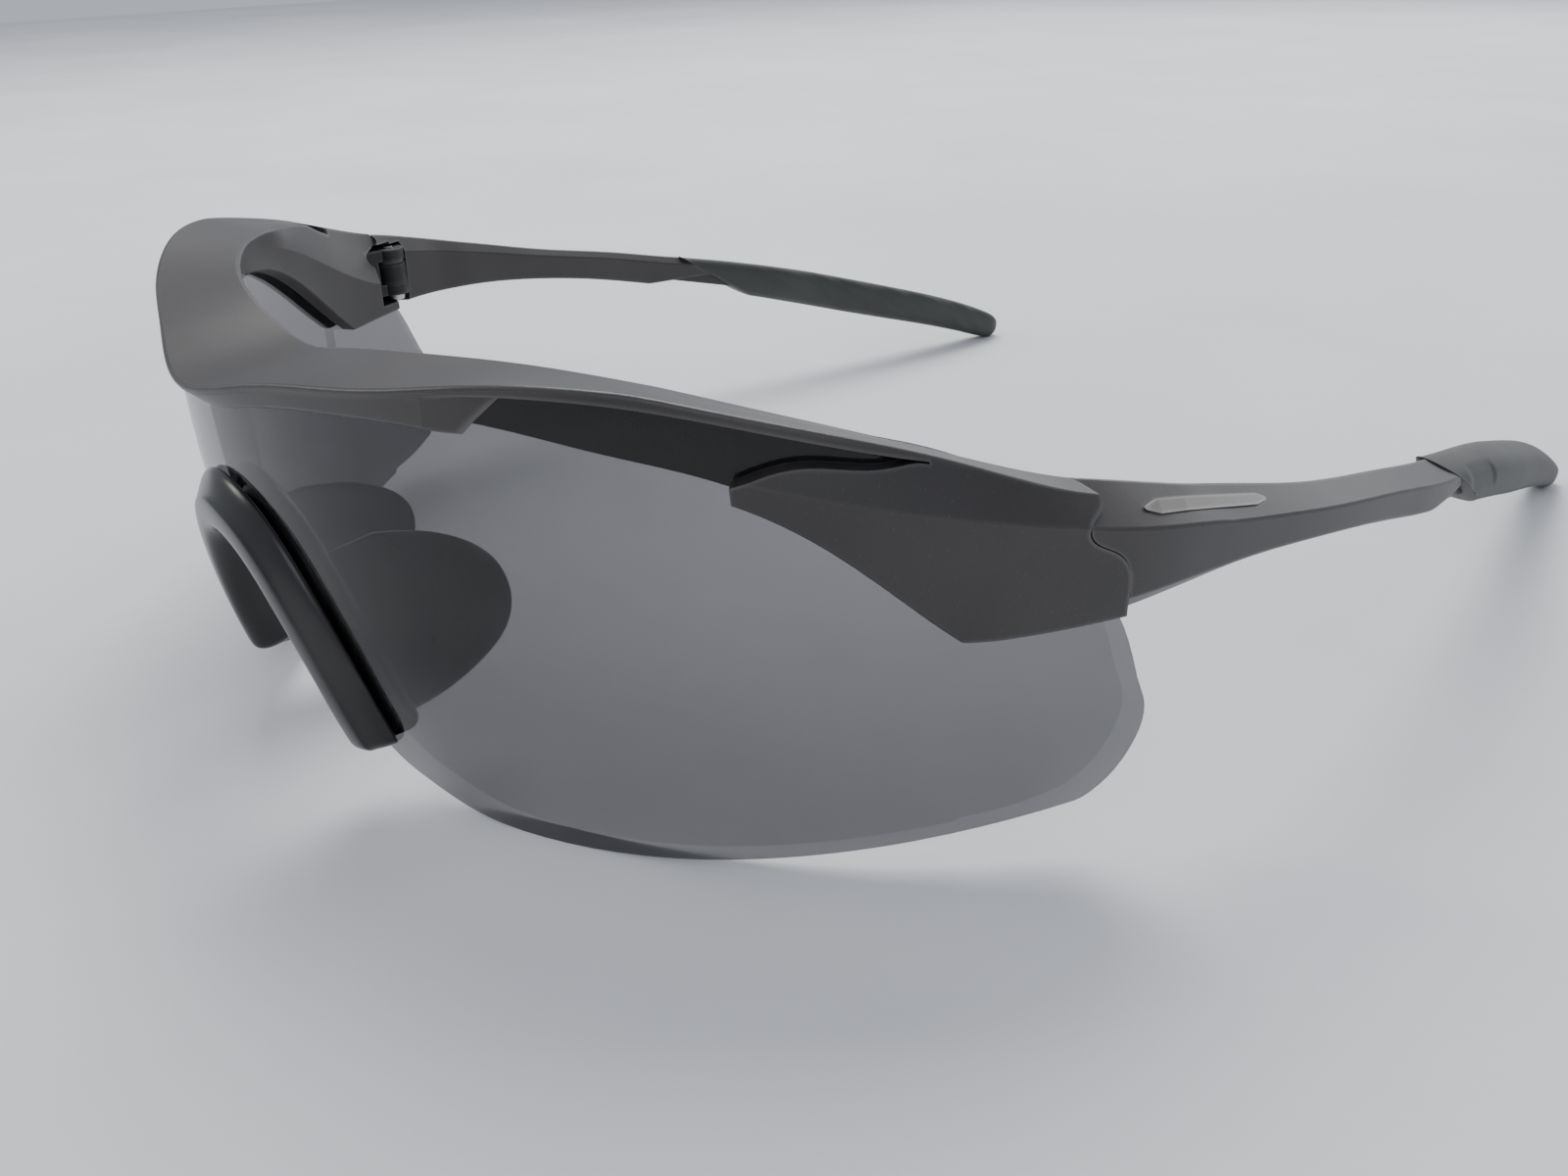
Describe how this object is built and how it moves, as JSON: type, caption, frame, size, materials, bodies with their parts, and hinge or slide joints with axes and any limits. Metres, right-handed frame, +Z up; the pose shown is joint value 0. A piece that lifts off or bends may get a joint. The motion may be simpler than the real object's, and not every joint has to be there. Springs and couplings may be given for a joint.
{
  "type": "sport sunglasses",
  "caption": "Wraparound half-rim sport sunglasses with a one-piece smoke shield lens, rubber nosepiece and folding temples with rubber grips.",
  "frame": {"origin": "on the resting plane, under the middle of the bounding box", "axes": "+X to the wearer's left (the plane of symmetry is X = 0), +Y back along the temples, +Z up with the lens bottom and temple tips resting on Z = 0"},
  "size_m": [0.1336, 0.157, 0.0438],
  "materials": {
    "frame_plastic": "matte charcoal",
    "smoke_lens": "polished smoke grey",
    "nose_rubber": "satin",
    "grip_rubber": "matte",
    "badge_gloss": "gunmetal gloss",
    "spring_steel": "brushed",
    "hinge_metal": "black satin",
    "washer_nylon": "black nylon"
  },
  "bodies": {
    "front": {"brow_frame": "frame_plastic", "shield_lens": "smoke_lens", "nosepiece_saddle": "nose_rubber", "nose_pad_left": "nose_rubber", "nose_pad_right": "nose_rubber", "hinge_fork_left": "hinge_metal", "hinge_fork_right": "hinge_metal", "hinge_screw_left": "spring_steel", "hinge_screw_right": "spring_steel"},
    "temple_left": {"temple_arm_left": "frame_plastic", "temple_grip_left": "grip_rubber", "temple_badge_left": "badge_gloss", "temple_core_left": "spring_steel", "hinge_tongue_left": "hinge_metal", "hinge_washer_left": "washer_nylon"},
    "temple_right": {"temple_arm_right": "frame_plastic", "temple_grip_right": "grip_rubber", "temple_badge_right": "badge_gloss", "temple_core_right": "spring_steel", "hinge_tongue_right": "hinge_metal", "hinge_washer_right": "washer_nylon"}
  },
  "joints": [
    {"name": "fold_left", "type": "hinge", "parent": "front", "child": "temple_left", "pos_m": [0.06, -0.03327, 0.03], "axis": [0, 0, 1], "range_deg": [0, 86]},
    {"name": "fold_right", "type": "hinge", "parent": "front", "child": "temple_right", "pos_m": [-0.06, -0.03327, 0.03], "axis": [0, 0, -1], "range_deg": [0, 76]}
  ]
}
